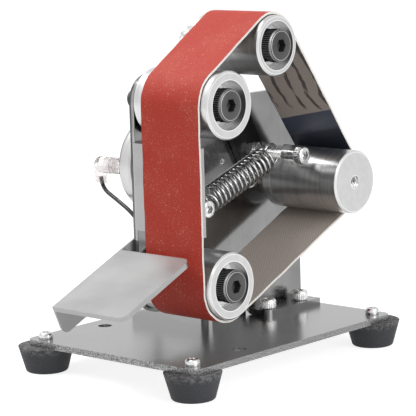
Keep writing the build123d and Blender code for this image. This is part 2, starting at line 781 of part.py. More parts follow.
# ---------------------------------------------------------------- spring
def tension_spring():
    """A close-wound extension spring with a round hook on each post."""
    span = (post_yz[0] - lower_post_yz[0], post_yz[1] - lower_post_yz[1])
    distance = math.hypot(*span)
    hook_offset = hook_r - spring_wire_r - m4_r - spring_seat   # post's centre to hook's centre
    coil_start = hook_offset + hook_r + spring_wire_r
    coil_length = distance - 2 * coil_start
    pitch = coil_length / spring_turns
    frame = Plane(origin=(spring_x, lower_post_yz[0], lower_post_yz[1]), x_dir=(1, 0, 0),
                  z_dir=(0, span[0] / distance, span[1] / distance))
    wire = Circle(spring_wire_r)
    rise = pitch / (2 * math.pi * spring_r)
    start_plane = Plane(origin=(spring_r, 0, 0), z_dir=(0, 1, rise))
    coil = sweep(start_plane * wire, path=Helix(pitch, coil_length, spring_r), is_frenet=True)
    # a hook, drawn for the upper end of the coil about the coil's axis
    centre_z = hook_r + spring_wire_r
    first = math.radians(-25)
    enter = (0, hook_r * math.cos(first), centre_z + hook_r * math.sin(first))
    lead_in = Spline(
        [(spring_r, 0, 0), (spring_r * 0.62, spring_r * 0.72, spring_wire_r), enter],
        tangents=[(0, 1, rise), (0, -math.sin(first), math.cos(first))])
    ring_plane = Plane(origin=(0, 0, centre_z), x_dir=(0, 1, 0), z_dir=(1, 0, 0))
    ring = ring_plane * CenterArc((0, 0), hook_r, -25, 285)
    hook = sweep(start_plane * wire, path=lead_in)
    ring_start = Plane(origin=enter, z_dir=(0, -math.sin(first), math.cos(first)))
    hook_ring = sweep(ring_start * wire, path=ring)
    upper = Pos(0, 0, coil_length) * (hook + hook_ring)
    lower = Rot(180, 0, 0) * (hook + hook_ring)
    spring = Pos(0, 0, coil_start) * (coil + upper + lower)
    print(f"spring: distance {distance:.2f}, pitch {pitch:.2f}, solids {len(spring.solids())}")
    return frame * spring


# ---------------------------------------------------------------- work rest
def work_rest():
    """The tilting table: a plate with a flange on its motor side that reaches back to the clamp."""
    left = outer_x - rest_offset_x - rest_sheet      # flange's outer face
    origin = (left, rest_rear[0], rest_rear[1])
    # local x runs across, local y along the slope to the rear, local z out of the table's top
    frame = Plane(origin=origin, x_dir=(1, 0, 0), z_dir=(0, -math.sin(slope), math.cos(slope)))
    table = Pos(rest_width / 2, -rest_length / 2, -rest_sheet) * extrude(
        Rectangle(rest_width, rest_length), rest_sheet)
    far = table.edges().filter_by(Axis.Z).group_by(Axis.X)[-1]
    table = fillet(far, rest_corner)
    # the flange, drawn in (along, up) and ending in a round eye about the clamp screw
    half = rest_flange_depth / 2
    eye = (rest_arm_reach, -half)
    edges = [
        Line((-rest_length, 0), (rest_arm_reach, 0)),
        ThreePointArc((rest_arm_reach, 0), (rest_arm_reach + half, -half), (rest_arm_reach, -2 * half)),
        Line((rest_arm_reach, -2 * half), (-rest_length + rest_corner, -2 * half)),
        RadiusArc((-rest_length + rest_corner, -2 * half), (-rest_length, -2 * half + rest_corner),
                  rest_corner),
        Line((-rest_length, -2 * half + rest_corner), (-rest_length, 0)),
    ]
    side_plane = Plane(origin=(0, 0, 0), x_dir=(0, 1, 0), z_dir=(1, 0, 0))
    hole = Pos(*eye) * Circle(clamp_r + pivot_clearance)
    flange = extrude(side_plane * (make_face(edges) - hole), rest_sheet)
    body = table + flange
    bend = body.edges().filter_by(Axis.Y).sort_by(lambda e: abs(e.center().X) + abs(e.center().Z))[0]
    body = fillet(bend, rest_sheet * 0.9)
    return frame * body


def clamp_screw():
    seat = outer_x - rest_offset_x - rest_sheet - seat_play
    plane = Plane(origin=(seat, clamp_yz[0], clamp_yz[1]), x_dir=(0, 1, 0), z_dir=(-1, 0, 0))
    shank = upright_x - seat - 2 * seat_play
    return socket_screw(plane, clamp_r, shank, clamp_head_r, clamp_head_height, clamp_key_af)


# ---------------------------------------------------------------- the whole machine
def idler_nodes(name, seat_x, x0, length, yz, radius, sink, tip_x):
    """The five nodes of one idler."""
    return {
        f"{name}_idler": idler_wheel(x0, length, yz, radius, sink),
        f"{name}_bearing_outer_rings": outer_rings(x0, length, yz, sink),
        f"{name}_bearing_inner_rings": inner_rings(x0, length, yz, sink),
        f"{name}_axle_sleeves": idler_sleeves(seat_x, x0, length, yz, sink),
        f"{name}_axle_bolt": idler_axle(x0, length, yz, sink, tip_x),
    }


def build():
    nodes = {
        "base_plate": base_plate(),
        "foot_screws": foot_screws(),
        "foot_nuts": foot_nuts(),
        "upright": upright(),
        "upright_bolts": foot_bolts(),
        "upright_bolt_nuts": foot_bolt_nuts(),
        "platen": platen(),
        "platen_screws": platen_screws(),
        "platen_nuts": platen_nuts(),
        "lower_clinch_nut": clinch_nut(lower_yz),
        "upper_clinch_nut": clinch_nut(upper_yz),
        "abrasive_belt": abrasive_belt(),
        "drive_wheel": drive_wheel(),
        "drive_wheel_grub": drive_grub(),
        "motor_shaft": motor_shaft(),
        "motor_can": motor_can(),
        "motor_end_cap": motor_end_cap(),
        "motor_screws": motor_screws(),
        "motor_terminals": motor_terminals(),
        "near_terminal_boot": terminal_boot(near_yz),
        "far_terminal_boot": terminal_boot(far_yz),
        "near_lead": lead(near_route()),
        "far_lead": lead(far_route()),
        "power_socket": power_socket(),
        "power_socket_pin": power_socket_pin(),
        "tension_arm": tension_arm(),
        "pivot_bolt": pivot_bolt(),
        "pivot_spacer": pivot_spacer(),
        "pivot_nut": pivot_nut(),
        "tension_spring": tension_spring(),
        "upper_spring_post": upper_post(),
        "upper_spring_post_nut": upper_post_nut(),
        "lower_spring_post": lower_post_screw(),
        "lower_spring_post_nuts": lower_post_nuts(),
        "work_rest": work_rest(),
        "rest_clamp_screw": clamp_screw(),
    }
    corners = ("front_left", "front_right", "rear_left", "rear_right")
    for corner, (x, y) in zip(corners, foot_places):
        nodes[f"{corner}_foot"] = foot(x, y)
    tip_x = outer_x - clinch_nut_height - axle_tail
    front_idlers = (
        ("lower", lower_standoff, lower_yz, axle_head_sink),
        ("upper", upper_standoff, upper_yz, upper_head_sink),
    )
    for name, standoff, yz, sink in front_idlers:
        nodes |= idler_nodes(name, upright_x, upright_x + standoff, front_idler_length, yz, front_wheel_r,
                             sink, tip_x)
    nodes |= idler_nodes("tension", arm_front_x, arm_front_x + tension_standoff, tension_idler_length,
                         tension_yz, tension_wheel_r, axle_head_sink, arm_x - axle_nut_height - axle_tail / 2)
    nut_plane = Plane(origin=(arm_x, tension_yz[0], tension_yz[1]), x_dir=(0, 1, 0), z_dir=(-1, 0, 0))
    nodes["tension_axle_nut"] = nut(nut_plane, axle_nut_af, axle_nut_height, bearing_bore_r)
    return nodes


def main():
    os.makedirs("parts", exist_ok=True)
    nodes = build()
    everything = []
    for name, shape in nodes.items():
        solids = shape if isinstance(shape, list) else [shape]
        solids = [solid for piece in solids for solid in piece.solids()]
        node = solids[0] if len(solids) == 1 else Compound(children=solids)
        node.label = name
        export_step(node, f"parts/{name}.step")
        everything += solids
    box = Compound(everything).bounding_box()
    print(f"{len(nodes)} nodes, {len(everything)} solids")
    print(f"box {box.min.X:.2f} {box.min.Y:.2f} {box.min.Z:.2f} "
          f"to {box.max.X:.2f} {box.max.Y:.2f} {box.max.Z:.2f}")
    inner = loop_face(belt_gap).face().outer_wire().length
    print(f"belt: inside length {inner:.1f}")


main()
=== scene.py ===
"""Looks for the bench belt grinder: materials, belt, spring, bolts, leads, light and camera.

Metres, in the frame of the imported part: +X from the motor to the open side of the belt, the belt's
flat front run faces -Y, and the bench is z = 0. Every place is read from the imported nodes.
"""
import math

import bpy
import numpy as np
from mathutils import Matrix, Vector


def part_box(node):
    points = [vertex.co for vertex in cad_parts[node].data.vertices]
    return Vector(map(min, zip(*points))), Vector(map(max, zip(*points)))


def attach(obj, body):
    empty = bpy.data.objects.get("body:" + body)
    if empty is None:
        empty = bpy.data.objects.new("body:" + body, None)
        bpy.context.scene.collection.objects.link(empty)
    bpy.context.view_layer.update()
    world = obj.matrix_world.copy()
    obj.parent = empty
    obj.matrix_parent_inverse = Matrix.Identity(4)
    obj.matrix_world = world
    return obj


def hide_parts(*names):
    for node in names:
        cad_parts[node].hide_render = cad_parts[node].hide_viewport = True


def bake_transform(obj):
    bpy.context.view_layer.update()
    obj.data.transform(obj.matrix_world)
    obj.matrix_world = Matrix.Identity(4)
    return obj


MM = 0.001

# shank and head radius, head height, key across flats, thread pitch, teeth of the knurl
M8_SOCKET = (4 * MM, 6.5 * MM, 5 * MM, 4.6 * MM, 1.25 * MM, 48)
M4_SOCKET = (2 * MM, 3.5 * MM, 4 * MM, 3 * MM, 0.7 * MM, 30)
# shank and head radius, head height
M3_PAN = (1.5 * MM, 2.9 * MM, 2.6 * MM)
M4_PAN = (2 * MM, 4 * MM, 2.6 * MM)
BEARING_POCKET_R, DRIVE_HOLE_R = 9.5 * MM, 2.5 * MM
BEARING_NAMES = ("lower", "upper", "tension")

LEAD_DIAMETER = 1.8 * MM

# lamps: name, place, size and power
LAMPS = (
    ("key", (-0.3, -0.75, 1.0), (0.5, 0.5), 3.6),
    ("fill", (0.95, 0.0, 0.45), (0.6, 0.8), 5.0),
    ("top", (-0.4, -0.22, 1.05), (0.6, 0.6), 6.5),
)
LAMPS_AIM = (0, 0, 0.07)
FLOOR_REACH = 4.0
FLOOR_DROP = 0.02 * MM              # keeps the floor clear of the feet
AMBIENT, BACKDROP = 0.34, 0.66      # the world's light, and what is added where it is seen
FLOOR_GLOW = 0.8

# the camera, from the foot of the belt's front run: its place, turn in degrees and lens
CAMERA_STEP = Vector((532.04, -566.64, 181.89)) * MM
CAMERA_YAW, CAMERA_PITCH, CAMERA_ROLL = 42.195, 9.210, -1.704
CAMERA_SENSOR, CAMERA_LENS = 36, 179.28

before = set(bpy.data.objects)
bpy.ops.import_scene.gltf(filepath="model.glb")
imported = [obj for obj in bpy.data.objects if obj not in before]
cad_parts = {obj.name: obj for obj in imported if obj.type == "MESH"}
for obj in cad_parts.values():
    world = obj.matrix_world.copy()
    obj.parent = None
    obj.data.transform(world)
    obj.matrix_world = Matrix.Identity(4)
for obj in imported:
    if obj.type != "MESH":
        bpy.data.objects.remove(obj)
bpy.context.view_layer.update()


# ---------------------------------------------------------------- places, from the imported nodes
def middle(node):
    low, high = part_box(node)
    return (low + high) / 2


def radius_of(node):
    low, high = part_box(node)
    return (high.y - low.y) / 2


def yz(node):
    """A node's centre, seen along X."""
    centre = middle(node)
    return centre.y, centre.z


WHEELS = ["lower_idler", "upper_idler", "tension_idler", "drive_wheel"]
UPRIGHT_INNER_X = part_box("lower_idler")[0].x - 0.7 * MM     # the upright's face towards the belt
PLATE_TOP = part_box("base_plate")[1].z


# ---------------------------------------------------------------- node trees
class Net:
    """Adds shader nodes to a tree; a value may be a number, a colour or another node's output."""

    def __init__(self, tree):
        self.tree = tree

    def add(self, kind, values=None, **settings):
        node = self.tree.nodes.new(kind)
        for name, value in settings.items():
            setattr(node, name, value)
        for socket, value in (values or {}).items():
            self.set(node.inputs[socket], value)
        return node

    def set(self, socket, value):
        if isinstance(value, bpy.types.NodeSocket):
            self.tree.links.new(value, socket)
        else:
            socket.default_value = value

    def math(self, operation, *values):
        return self.add("ShaderNodeMath", dict(enumerate(values)), operation=operation).outputs[0]

    def span(self, value, low, high, to_low=0.0, to_high=1.0):
        """Maps low..high smoothly to to_low..to_high."""
        values = {0: value, 1: low, 2: high, 3: to_low, 4: to_high}
        return self.add("ShaderNodeMapRange", values, interpolation_type="SMOOTHSTEP").outputs[0]

    def mix(self, factor, first, second):
        """One colour over another."""
        node = self.add("ShaderNodeMix", data_type="RGBA")
        for socket, value in zip((0, 6, 7), (factor, first, second)):
            self.set(node.inputs[socket], value)
        return node.outputs[2]

    def noise(self, vector, scale, detail=2.0, rough=0.5):
        values = {"Vector": vector, "Scale": scale, "Detail": detail, "Roughness": rough}
        return self.add("ShaderNodeTexNoise", values).outputs[0]

    def stretched(self, vector, scale):
        """Coordinates scaled by a different number along each axis."""
        return self.add("ShaderNodeVectorMath", {0: vector, 1: scale}, operation="MULTIPLY").outputs[0]

    def parts(self, vector):
        return self.add("ShaderNodeSeparateXYZ", {0: vector}).outputs

    def group(self, name, **values):
        node = self.add("ShaderNodeGroup", node_tree=bpy.data.node_groups[name])
        for socket, value in values.items():
            self.set(node.inputs[socket], value)
        return node.outputs


def srgb(red, green, blue):
    """A colour written as 0..255 screen values."""
    parts = [value / 255 for value in (red, green, blue)]
    return (*[v / 12.92 if v < 0.04 else ((v + 0.055) / 1.055) ** 2.4 for v in parts], 1.0)


def grey(level):
    return srgb(level, level, level)


BACKING_DARK, BACKING_LIGHT, BACKING_CLOUD = srgb(160, 146, 137), srgb(246, 236, 228), srgb(196, 182, 172)
YARN_STEP = 0.95 * MM
SIZE_LINE, SIZE_LANE = srgb(48, 42, 42), 7.5 * MM
FILM_TOP, FILM_LOW, FILM_SEAM = srgb(88, 95, 112), srgb(54, 60, 73), srgb(40, 44, 53)
# along the belt, from where it meets the drive wheel: the film's two ends and the seam under it
FILM_FROM, FILM_TO, SEAM_FROM = -23.4 * MM, 15 * MM, -13.6 * MM
FILM_SLANT = 0.24

BRUSH_FINE, BRUSH_COARSE, BRUSH_CLOUD = 1.0, 0.23, 45.0
LATHE_MARKS = 3500.0                # noise cells in a metre


def new_group(name, inputs, outputs):
    """An empty shader node group: its net, its inputs and its output node."""
    tree = bpy.data.node_groups.new(name, "ShaderNodeTree")
    for label, kind in inputs.items():
        tree.interface.new_socket(label, in_out="INPUT", socket_type="NodeSocket" + kind)
    for label, kind in outputs.items():
        tree.interface.new_socket(label, in_out="OUTPUT", socket_type="NodeSocket" + kind)
    net = Net(tree)
    return net, net.add("NodeGroupInput").outputs, net.add("NodeGroupOutput").inputs


def make_groups():
    """The effects that several materials share."""
    # fine parallel scratches and broad soft patches, for rolled and brushed sheet
    net, given, out = new_group(
        "Brushed", {"Vector": "Vector", "Grain": "Vector"}, {"Streak": "Float", "Patch": "Float"})
    stretched = net.stretched(given["Vector"], given["Grain"])
    fine = net.noise(stretched, BRUSH_FINE, 3.0, 0.6)
    coarse = net.noise(stretched, BRUSH_COARSE, 2.0)
    net.set(out["Streak"], net.math("MULTIPLY_ADD", fine, 0.6, net.math("MULTIPLY", coarse, 0.4)))
    net.set(out["Patch"], net.noise(given["Vector"], BRUSH_CLOUD, 3.0))
    # tool marks of a lathe: rings about an axis along X, and bands along it
    net, given, out = new_group(
        "Turned", {"Vector": "Vector", "Axis": "Vector"}, {"Ring": "Float", "Radius": "Float"})
    arm = net.add("ShaderNodeVectorMath", {0: given["Vector"], 1: given["Axis"]}, operation="SUBTRACT").outputs[0]
    x, y, z = net.parts(arm)
    radius = net.math("POWER", net.math("ADD", net.math("MULTIPLY", y, y), net.math("MULTIPLY", z, z)), 0.5)
    marks = {0: net.math("MULTIPLY", x, LATHE_MARKS), 1: net.math("MULTIPLY", radius, LATHE_MARKS)}
    place = net.add("ShaderNodeCombineXYZ", marks)
    turns = net.noise(place.outputs[0], 1.0, 3.0, 0.7)
    smear = net.noise(net.stretched(given["Vector"], (600.0, 90.0, 90.0)), 1.0, 2.0)
    net.set(out["Ring"], net.math("MULTIPLY_ADD", turns, 0.7, net.math("MULTIPLY", smear, 0.3)))
    net.set(out["Radius"], radius)


class Material(Net):
    """A Principled material with the constant values set on its own sockets."""

    def __init__(self, name, slot, **constants):
        self.material = bpy.data.materials.new(name)
        self.material.use_nodes = True
        self.slot = slot
        super().__init__(self.material.node_tree)
        self.shader = self.tree.nodes["Principled BSDF"].inputs
        for socket, value in constants.items():
            self.set(self.shader[socket.replace("_", " ")], value)
        self.place = self.add("ShaderNodeTexCoord").outputs["Object"]

    def give(self, socket, value):
        self.set(self.shader[socket], value)

    def bump(self, height, depth):
        values = {"Height": height, "Distance": depth, "Strength": 1.0}
        self.give("Normal", self.add("ShaderNodeBump", values).outputs[0])


def sheet_steel(name, tones, rough, grain, cut_axis=None, cut_tones=None, cut_rough=None):
    """Cold-rolled sheet with soft clouds. Faces turned away from cut_axis, the axis of the sheet's
    thickness, are its sheared edges and have a fine torn grain."""
    made = Material(name, "sheet_steel", Metallic=1.0)
    streak, patch = made.group("Brushed", Vector=made.place, Grain=grain)
    tone = made.math("MULTIPLY_ADD", patch, 0.75, made.math("MULTIPLY", streak, 0.25))
    colour = made.mix(made.span(tone, 0.3, 0.7), grey(tones[0]), grey(tones[1]))
    roughness = made.span(tone, 0.3, 0.7, *rough)
    height = streak
    if cut_axis is not None:
        normal = made.add("ShaderNodeNewGeometry").outputs["Normal"]
        across = made.math("ABSOLUTE", made.parts(normal)[cut_axis])
        cut = made.span(across, 0.5, 0.3)
        torn = made.noise(made.place, 1900.0, 3.0, 0.65)
        sheared = made.mix(made.span(torn, 0.38, 0.62), grey(cut_tones[0]), grey(cut_tones[1]))
        colour = made.mix(cut, colour, sheared)
        roughness = made.math("MULTIPLY_ADD", cut, cut_rough - rough[1], roughness)
        height = made.math("MULTIPLY_ADD", made.math("MULTIPLY", torn, cut), 12.0, streak)
    made.give("Base Color", colour)
    made.give("Roughness", roughness)
    made.bump(height, 0.0016 * MM)
    return made


def upright_sheet():
    """The upright's sheet: darker broad faces, sheared edges in two tones, and a painted reflection that lightens the
    wing's front face.
    """
    made = Material("upright_sheet", "sheet_steel", Metallic=1.0)
    streak, patch = made.group("Brushed", Vector=made.place, Grain=(300.0, 300.0, 24.0))
    tone = made.math("MULTIPLY_ADD", patch, 0.75, made.math("MULTIPLY", streak, 0.25))
    face = made.mix(made.span(tone, 0.3, 0.7), grey(120), grey(142))
    normal = made.add("ShaderNodeNewGeometry").outputs["Normal"]
    along_x = made.parts(made.place)[0]
    torn = made.noise(made.stretched(made.place, (900.0, 900.0, 120.0)), 1.0, 2.0)
    edge = made.mix(made.span(torn, 0.35, 0.65), grey(84), grey(104))
    broken = made.mix(made.span(torn, 0.35, 0.65), grey(140), grey(166))
    # the torn half of the edge, its burr, and the wing, whose front face is lightened as a painted reflection: where
    # each begins and is full, from the inner face
    for begins, full, tint in ((-1.7, -1.2, broken), (-0.35, -0.15, grey(90)), (-3.2, -3.8, grey(214))):
        band = made.span(along_x, UPRIGHT_INNER_X + begins * MM, UPRIGHT_INNER_X + full * MM)
        edge = made.mix(band, edge, tint)
    cut = made.span(made.math("ABSOLUTE", made.parts(normal)[0]), 0.5, 0.3)
    up = made.span(made.parts(normal)[2], 0.7, 0.9)
    colour = made.mix(made.math("MULTIPLY", cut, made.math("SUBTRACT", 1.0, up)), face, edge)
    made.give("Base Color", colour)
    made.give("Roughness", made.span(tone, 0.3, 0.7, 0.14, 0.22))
    made.bump(streak, 0.001 * MM)
    return made


def turned_metal(name, slot, node, dark, light, rough, depth=0.006):
    """Metal turned about the node's own axis."""
    made = Material(name, slot, Metallic=1.0)
    ring, _ = made.group("Turned", Vector=made.place, Axis=middle(node))
    made.give("Base Color", made.mix(made.span(ring, 0.35, 0.65), grey(dark), grey(light)))
    made.give("Roughness", made.span(ring, 0.3, 0.7, *rough))
    made.bump(ring, depth * MM)
    return made


def wheel_aluminium(node, pocket_r):
    """Turned aluminium: satin end faces with a painted highlight on the rim outside and round the pocket, and fine
    lathe lines.
    """
    made = Material(node + "_aluminium", "wheel_aluminium", Metallic=1.0)
    ring, radius = made.group("Turned", Vector=made.place, Axis=middle(node))
    normal = made.add("ShaderNodeNewGeometry").outputs["Normal"]
    end = made.span(made.math("ABSOLUTE", made.parts(normal)[0]), 0.8, 0.95)
    # painted highlight: the end faces lightened near the outer rim and round the pocket, where the chamfers catch the
    # light
    outer = made.span(radius, radius_of(node) - 1.1 * MM, radius_of(node) - 0.7 * MM)
    inner = made.span(radius, pocket_r + 0.5 * MM, pocket_r + 0.15 * MM)
    rim = made.math("MAXIMUM", outer, inner)
    cloud = made.noise(made.place, 330.0, 3.0)
    side = made.mix(made.span(ring, 0.3, 0.7), grey(192), grey(222))
    face = made.mix(made.span(cloud, 0.3, 0.7), grey(192), grey(198))
    face = made.mix(rim, face, grey(228))
    made.give("Base Color", made.mix(end, side, face))
    made.give("Roughness", made.math("MULTIPLY_ADD", end, 0.1, made.span(ring, 0.3, 0.7, 0.27, 0.33)))
    made.bump(ring, 0.001 * MM)
    return made


def plated_steel(name, slot, dark, light, rough=(0.16, 0.34)):
    """Bright plated screws and nuts, a little cloudy."""
    made = Material(name, slot, Metallic=1.0)
    cloud = made.noise(made.place, 700.0, 3.0)
    made.give("Base Color", made.mix(made.span(cloud, 0.35, 0.65), grey(dark), grey(light)))
    made.give("Roughness", made.span(cloud, 0.3, 0.7, *rough))
    made.bump(cloud, 0.01 * MM)
    return made


def black_oxide(name, node):
    """Blackened steel: smooth on the head's turned face, darker on its knurl, with a painted highlight on two rims.
    """
    made = Material(name, "black_steel", Metallic=0.7)
    ring, radius = made.group("Turned", Vector=made.place, Axis=middle(node))
    plain = made.mix(made.span(ring, 0.35, 0.65), grey(66), grey(86))
    knurl = made.span(radius, 5.75 * MM, 6.0 * MM)
    colour = made.mix(knurl, plain, grey(40))
    # painted highlight: two thin light rings on the head's chamfers
    for rim in (5.62 * MM, 6.22 * MM):
        away = made.math("ABSOLUTE", made.math("SUBTRACT", radius, rim))
        colour = made.mix(made.math("MULTIPLY", made.span(away, 0.16 * MM, 0.06 * MM), 0.8), colour, grey(205))
    made.give("Base Color", colour)
    made.give("Roughness", made.span(ring, 0.3, 0.7, 0.28, 0.38))
    made.bump(ring, 0.003 * MM)
    return made


def motor_case():
    """Satin plated drawn steel with a band of painted shade where the case meets the end bell, and painted shade on
    the upper side of the lip.
    """
    made = Material("motor_case", "motor_steel", Metallic=0.9)
    ring, _ = made.group("Turned", Vector=made.place, Axis=middle("motor_can"))
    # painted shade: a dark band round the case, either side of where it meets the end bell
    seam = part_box("motor_can")[0].x
    away = made.math("ABSOLUTE", made.math("SUBTRACT", made.parts(made.place)[0], seam))
    band = made.span(away, 0.9 * MM, 1.5 * MM)
    plain = made.mix(made.span(ring, 0.35, 0.65), grey(190), grey(208))
    colour = made.mix(band, grey(92), plain)
    # painted shade: the lip darker on its upper side, above the axis
    lip_x, axis_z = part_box("motor_terminals")[0].x + 10.3 * MM, middle("motor_can").z
    lip = made.span(made.parts(made.place)[0], lip_x + 0.3 * MM, lip_x)
    high = made.span(made.parts(made.place)[2], axis_z + 0.5 * MM, axis_z + 3 * MM)
    colour = made.mix(made.math("MULTIPLY", made.math("MULTIPLY", lip, high), 0.85), colour, grey(112))
    made.give("Base Color", colour)
    made.give("Roughness", made.span(ring, 0.3, 0.7, 0.26, 0.36))
    made.bump(ring, 0.004 * MM)
    return made


def clear_vinyl():
    made = Material("clear_vinyl", "clear_vinyl", Transmission_Weight=0.9, IOR=1.42)
    cloud = made.noise(made.place, 260.0, 3.0)
    made.give("Base Color", made.mix(made.span(cloud, 0.3, 0.7), srgb(244, 236, 236), srgb(250, 249, 248)))
    made.give("Roughness", made.span(cloud, 0.3, 0.7, 0.05, 0.16))
    made.bump(cloud, 0.05 * MM)
    return made


def black_plastic(name, slot, low, high, rough, scale=900.0, depth=0.02):
    made = Material(name, slot)
    grain = made.noise(made.place, scale, 3.0)
    made.give("Base Color", made.mix(made.span(grain, 0.3, 0.7), grey(low), grey(high)))
    made.give("Roughness", made.span(grain, 0.3, 0.7, *rough))
    made.bump(grain, depth * MM)
    return made


def rubber():
    """Moulded rubber with a fine pebble, and dusty flash round the top rim."""
    made = Material("foot_rubber", "rubber")
    grain = made.noise(made.place, 1500.0, 3.0)
    flash = made.noise(made.place, 650.0, 3.0, 0.7)
    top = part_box("front_right_foot")[1].z
    near_top = made.span(made.parts(made.place)[2], top - 3.2 * MM, top - 0.8 * MM)
    dust = made.math("MULTIPLY", near_top, made.span(flash, 0.42, 0.62))
    plain = made.mix(made.span(grain, 0.35, 0.65), srgb(50, 51, 54), srgb(68, 69, 73))
    made.give("Base Color", made.mix(dust, plain, grey(120)))
    made.give("Roughness", made.span(grain, 0.3, 0.7, 0.62, 0.8))
    made.bump(made.math("MULTIPLY_ADD", flash, near_top, grain), 0.06 * MM)
    return made


# ---------------------------------------------------------------- belt materials
def belt_place(made):
    """Across and along the belt, in metres, from its UV map."""
    across, along, _ = made.parts(made.add("ShaderNodeUVMap", uv_map="belt").outputs[0])
    return across, along


def belt_vector(made, across, along, scale_across=1.0, scale_along=1.0):
    values = {0: made.math("MULTIPLY", across, scale_across), 1: made.math("MULTIPLY", along, scale_along)}
    return made.add("ShaderNodeCombineXYZ", values).outputs[0]


def abrasive_face():
    """Red coated grain: fine grit, soft wear clouds and scattered pale grains."""
    made = Material("abrasive_face", "abrasive", Specular_IOR_Level=0.4)
    across, along = belt_place(made)
    flat = belt_vector(made, across, along)
    grit = made.noise(flat, 3200.0, 2.0)
    cloud = made.noise(flat, 60.0, 4.0, 0.6)
    colour = made.mix(made.span(grit, 0.3, 0.7), srgb(163, 38, 24), srgb(193, 60, 42))
    colour = made.mix(made.math("MULTIPLY", made.span(cloud, 0.35, 0.7), 0.3), colour, srgb(190, 84, 66))
    dots = 0.0
    # fine grains, and fewer coarse ones; both are rarer where the belt is worn
    for scale, rarity in ((2100.0, 0.56), (950.0, 0.86)):
        grains = made.add("ShaderNodeTexVoronoi", {"Vector": flat, "Scale": scale})
        thin = made.span(cloud, 0.62, 0.4, rarity - 0.14, rarity + 0.2)
        chosen = made.math("GREATER_THAN", made.parts(grains.outputs["Color"])[0], thin)
        dot = made.math("MULTIPLY", made.span(grains.outputs["Distance"], 0.36, 0.12), chosen)
        dots = made.math("MAXIMUM", dots, dot)
    colour = made.mix(made.math("MULTIPLY", dots, 0.62), colour, srgb(232, 150, 128))
    made.give("Base Color", colour)
    made.give("Roughness", made.span(grit, 0.3, 0.7, 0.5, 0.72))
    made.bump(made.math("ADD", grit, dots), 0.05 * MM)
    return made


def belt_backing(meets_drive):
    """Woven cotton backing, with a glossy dark film over the splice and wavering lines of size above it."""
    made = Material("belt_backing", "abrasive")
    across, along = belt_place(made)
    flat = belt_vector(made, across, along)
    # a fine twill crossed by a second one, broken up by uneven yarns
    pick = 2 * math.pi / YARN_STEP
    uneven = made.noise(flat, 900.0, 2.0)
    lean = made.math("MULTIPLY_ADD", along, 0.9, across)
    lean = made.math("MULTIPLY_ADD", uneven, 0.5 * MM, lean)
    twill = made.math("SINE", made.math("MULTIPLY", lean, pick))
    counter = made.math("MULTIPLY_ADD", along, -0.55, across)
    counter = made.math("SINE", made.math("MULTIPLY", counter, pick * 0.8))
    weave = made.math("MULTIPLY_ADD", twill, counter, made.math("MULTIPLY", twill, 0.6))
    cloud = made.noise(flat, 110.0, 4.0, 0.6)
    yarn = made.mix(made.span(weave, -0.6, 1.4), BACKING_DARK, BACKING_LIGHT)
    yarn = made.mix(made.math("MULTIPLY", made.span(cloud, 0.3, 0.7), 0.4), yarn, BACKING_CLOUD)
    # lines of size that flow along the belt and fade out towards the splice
    waver = made.noise(belt_vector(made, across, along, 0.12), 70.0, 2.0, 0.4)
    lane = made.math("MULTIPLY_ADD", waver, 16 * MM, across)
    stripe = made.math("ABSOLUTE", made.math("SINE", made.math("MULTIPLY", lane, math.pi / SIZE_LANE)))
    before = made.math("SUBTRACT", meets_drive, along)
    line = made.math("MULTIPLY", made.span(stripe, 0.5, 0.28), made.span(before, 25 * MM, 28 * MM))
    broken = made.span(made.noise(belt_vector(made, across, along, 1.0, 0.3), 300.0, 3.0), 0.34, 0.5)
    yarn = made.mix(made.math("MULTIPLY", made.math("MULTIPLY", line, broken), 0.8), yarn, SIZE_LINE)
    # film over the splice, cut at a slant, and the seam under it
    slant = made.math("MULTIPLY_ADD", across, FILM_SLANT, along)
    begins, ends = meets_drive + FILM_FROM, meets_drive + FILM_TO
    film = made.math("MULTIPLY", made.span(slant, begins, begins + 0.3 * MM), made.span(slant, ends, ends - 0.3 * MM))
    shade = made.span(slant, meets_drive - 23 * MM, meets_drive - 5 * MM)
    film_colour = made.mix(shade, FILM_TOP, FILM_LOW)
    seam = made.span(slant, meets_drive + SEAM_FROM, meets_drive + SEAM_FROM + 0.4 * MM)
    film_colour = made.mix(made.math("MULTIPLY", seam, 0.5), film_colour, FILM_SEAM)
    made.give("Base Color", made.mix(film, yarn, film_colour))
    made.give("Roughness", made.math("MULTIPLY_ADD", film, -0.5, 0.82))
    rough = made.math("MULTIPLY", weave, made.math("SUBTRACT", 1.0, film))
    made.bump(made.math("MULTIPLY_ADD", seam, -2.0, made.math("MULTIPLY_ADD", film, 4.0, rough)), 0.02 * MM)
    return made


def belt_edge():
    """Cut cotton: pale, fibrous, with bits of grit."""
    made = Material("belt_edge", "abrasive", Roughness=0.85)
    fibre = made.noise(made.place, 2600.0, 2.0)
    made.give("Base Color", made.mix(made.span(fibre, 0.3, 0.55), srgb(230, 220, 212), srgb(252, 250, 246)))
    made.bump(fibre, 0.06 * MM)
    return made


# ---------------------------------------------------------------- meshes
def new_piece(name, points, faces, materials, body, kinds=None, sharp=35):
    """A mesh object that rides on a CAD body; kinds gives each face's place in materials."""
    mesh = bpy.data.meshes.new(name)
    mesh.from_pydata([tuple(p) for p in points], [], faces)
    for made in materials:
        mesh.materials.append(made.material)
    if kinds is not None:
        mesh.polygons.foreach_set("material_index", kinds)
    mesh.validate()
    mesh.shade_smooth()
    mesh.set_sharp_from_angle(angle=math.radians(sharp))
    piece = bpy.data.objects.new(name, mesh)
    bpy.context.scene.collection.objects.link(piece)
    if body:
        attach(piece, body)
    return piece


